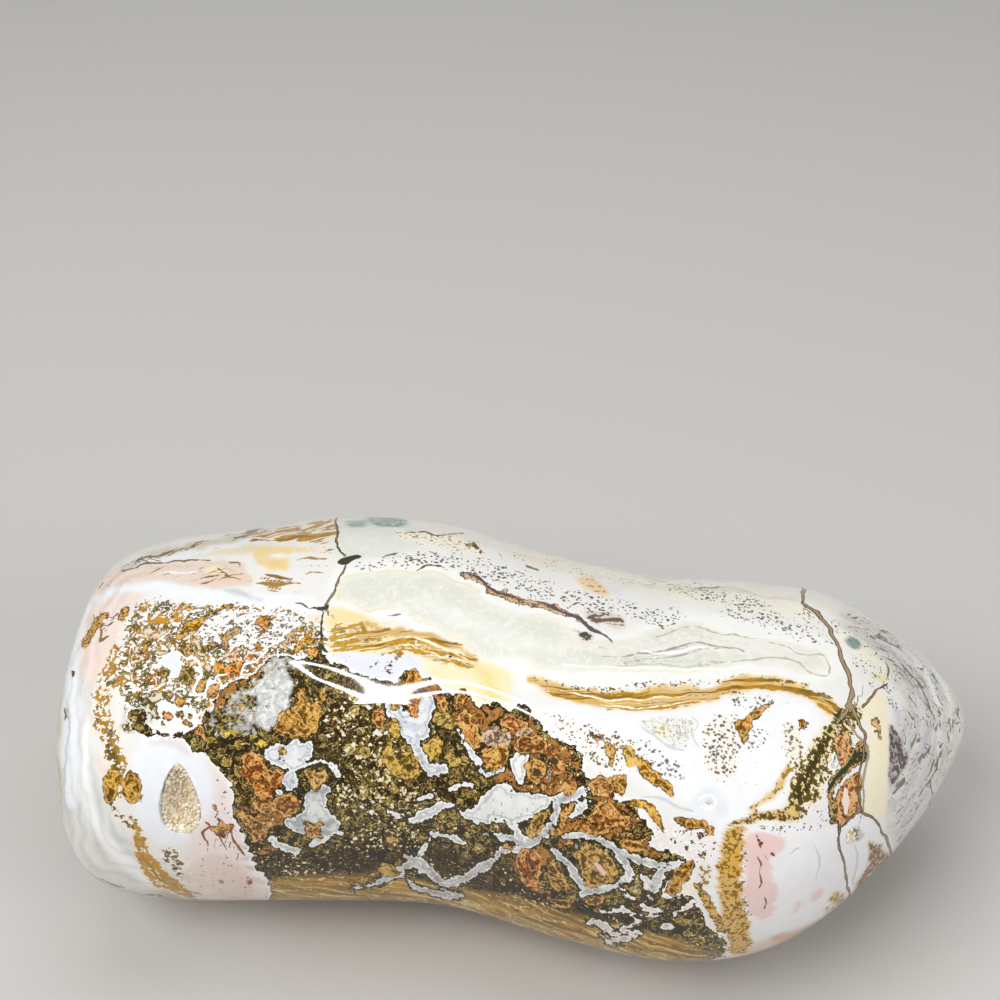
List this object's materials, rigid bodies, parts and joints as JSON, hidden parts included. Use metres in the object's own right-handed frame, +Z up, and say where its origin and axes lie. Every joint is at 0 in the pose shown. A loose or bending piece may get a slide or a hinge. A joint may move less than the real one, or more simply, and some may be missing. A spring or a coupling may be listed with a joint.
{
  "type": "polished agate freeform",
  "caption": "Polished ocean-jasper agate freeform, a long blunt-ended stone with crystal-lined hollows, standing on a ground flat.",
  "frame": {"origin": "middle of the stone's box, on the surface that its ground flat rests on", "axes": "+X along the length, from the blunt end to the rounded nose; +Y away from the side with the hollows; +Z up"},
  "size_m": [0.2466, 0.131, 0.0914],
  "materials": {
    "agate_body": "polished agate and orbicular jasper: white lace, celadon agate and olive-brown jasper with rust patches",
    "crystal_crust": "fine quartz crystals, cream to tan",
    "small_crystal_crust": "fine quartz crystals, cream to tan"
  },
  "bodies": {
    "root": {"agate_body": "agate_body", "crystal_crust": "crystal_crust", "small_crystal_crust": "small_crystal_crust"}
  },
  "joints": []
}
